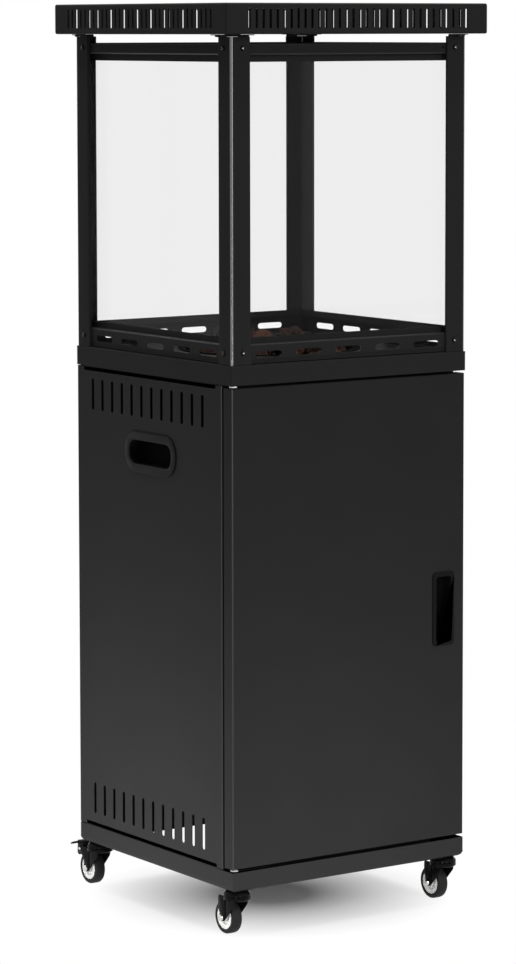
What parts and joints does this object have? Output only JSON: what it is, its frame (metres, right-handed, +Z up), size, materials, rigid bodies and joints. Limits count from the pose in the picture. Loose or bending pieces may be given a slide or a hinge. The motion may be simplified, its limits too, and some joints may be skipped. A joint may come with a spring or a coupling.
{
  "type": "gas patio heater",
  "caption": "Free-standing gas patio heater: square steel cabinet with a hinged door on swivel casters, a glass-walled burner stage between corner posts, and a slotted head.",
  "frame": {"origin": "on the floor, under the middle of the cabinet", "axes": "+Z up through the cabinet and the head, -Y towards the door, +X towards the door handle's side"},
  "size_m": [0.47, 0.484, 1.365],
  "materials": {
    "grey_steel": "dark grey powder coat, satin",
    "black_steel": "black powder coat, satin",
    "door_steel": "black powder coat, satin",
    "black_plastic": "moulded black, fine grain",
    "zinc": "zinc plated",
    "glass": "clear tempered float glass",
    "stainless": "stainless, heat tinted",
    "lava": "porous volcanic rock, matt",
    "brass": "machined",
    "caster_steel": "black electrocoat",
    "hub_nylon": "pale grey nylon",
    "tyre": "dark rubber"
  },
  "bodies": {
    "cabinet": {"base_tray": "grey_steel", "left_side_panel": "grey_steel", "right_side_panel": "grey_steel", "rear_panel": "black_steel", "door_frame": "black_steel", "burner_deck": "black_steel", "head_cap": "black_steel", "control_panel": "black_steel", "corner_post_front_left": "black_steel", "corner_post_front_right": "black_steel", "corner_post_rear_right": "black_steel", "corner_post_rear_left": "black_steel", "lower_rail_front": "black_steel", "lower_rail_right": "black_steel", "lower_rail_rear": "black_steel", "lower_rail_left": "black_steel", "upper_rail_front": "black_steel", "upper_rail_right": "black_steel", "upper_rail_rear": "black_steel", "upper_rail_left": "black_steel", "left_hand_grip": "black_plastic", "right_hand_grip": "black_plastic", "magnet_catch": "black_plastic", "upper_hinge_plate": "zinc", "lower_hinge_plate": "zinc", "glass_pane_front": "glass", "glass_pane_right": "glass", "glass_pane_rear": "glass", "glass_pane_left": "glass", "burner_pan": "stainless", "burner_ring": "stainless", "pilot_assembly": "stainless", "head_heat_shield": "stainless", "lava_rocks": "lava", "gas_valve": "brass", "gas_pipe": "brass", "caster_cup_front_left": "caster_steel", "caster_cup_front_right": "caster_steel", "caster_cup_rear_left": "caster_steel", "caster_cup_rear_right": "caster_steel"},
    "door": {"door_panel": "door_steel", "door_handle": "black_plastic"},
    "control_knob": {"control_knob": "black_plastic"},
    "igniter_button": {"igniter_button": "black_plastic"},
    "fork_front_left": {"caster_fork_front_left": "caster_steel"},
    "wheel_front_left": {"caster_hub_front_left": "hub_nylon", "caster_tyre_front_left": "tyre"},
    "fork_front_right": {"caster_fork_front_right": "caster_steel"},
    "wheel_front_right": {"caster_hub_front_right": "hub_nylon", "caster_tyre_front_right": "tyre"},
    "fork_rear_left": {"caster_fork_rear_left": "caster_steel"},
    "wheel_rear_left": {"caster_hub_rear_left": "hub_nylon", "caster_tyre_rear_left": "tyre"},
    "brake_rear_left": {"brake_pedal_rear_left": "black_plastic"},
    "fork_rear_right": {"caster_fork_rear_right": "caster_steel"},
    "wheel_rear_right": {"caster_hub_rear_right": "hub_nylon", "caster_tyre_rear_right": "tyre"},
    "brake_rear_right": {"brake_pedal_rear_right": "black_plastic"}
  },
  "joints": [
    {"name": "door_hinge", "type": "hinge", "parent": "cabinet", "child": "door", "pos_m": [-0.205, -0.205, 0.458], "axis": [0, 0, -1], "range_deg": [0, 120]},
    {"name": "swivel_front_left", "type": "hinge", "parent": "cabinet", "child": "fork_front_left", "pos_m": [-0.19, -0.19, 0.06], "axis": [0, 0, 1], "continuous": true},
    {"name": "spin_front_left", "type": "hinge", "parent": "fork_front_left", "child": "wheel_front_left", "pos_m": [-0.19, -0.168, 0.025], "axis": [1, 0, 0], "continuous": true},
    {"name": "swivel_front_right", "type": "hinge", "parent": "cabinet", "child": "fork_front_right", "pos_m": [0.19, -0.19, 0.06], "axis": [0, 0, 1], "continuous": true},
    {"name": "spin_front_right", "type": "hinge", "parent": "fork_front_right", "child": "wheel_front_right", "pos_m": [0.19, -0.168, 0.025], "axis": [1, 0, 0], "continuous": true},
    {"name": "swivel_rear_left", "type": "hinge", "parent": "cabinet", "child": "fork_rear_left", "pos_m": [-0.19, 0.19, 0.06], "axis": [0, 0, 1], "continuous": true},
    {"name": "spin_rear_left", "type": "hinge", "parent": "fork_rear_left", "child": "wheel_rear_left", "pos_m": [-0.19, 0.212, 0.025], "axis": [1, 0, 0], "continuous": true},
    {"name": "brake_rear_left", "type": "hinge", "parent": "fork_rear_left", "child": "brake_rear_left", "pos_m": [-0.19, 0.228, 0.0535], "axis": [-1, 0, 0], "range_deg": [0, 10]},
    {"name": "swivel_rear_right", "type": "hinge", "parent": "cabinet", "child": "fork_rear_right", "pos_m": [0.19, 0.19, 0.06], "axis": [0, 0, 1], "continuous": true},
    {"name": "spin_rear_right", "type": "hinge", "parent": "fork_rear_right", "child": "wheel_rear_right", "pos_m": [0.19, 0.212, 0.025], "axis": [1, 0, 0], "continuous": true},
    {"name": "brake_rear_right", "type": "hinge", "parent": "fork_rear_right", "child": "brake_rear_right", "pos_m": [0.19, 0.228, 0.0535], "axis": [-1, 0, 0], "range_deg": [0, 10]},
    {"name": "knob_turn", "type": "hinge", "parent": "cabinet", "child": "control_knob", "pos_m": [-0.036, -0.1663, 0.7565], "axis": [0, -1, 0], "range_deg": [0, 180]},
    {"name": "igniter_press", "type": "slide", "parent": "cabinet", "child": "igniter_button", "axis": [0, 1, 0], "range_m": [0, 0.004], "stiffness_N_per_m": 400}
  ]
}
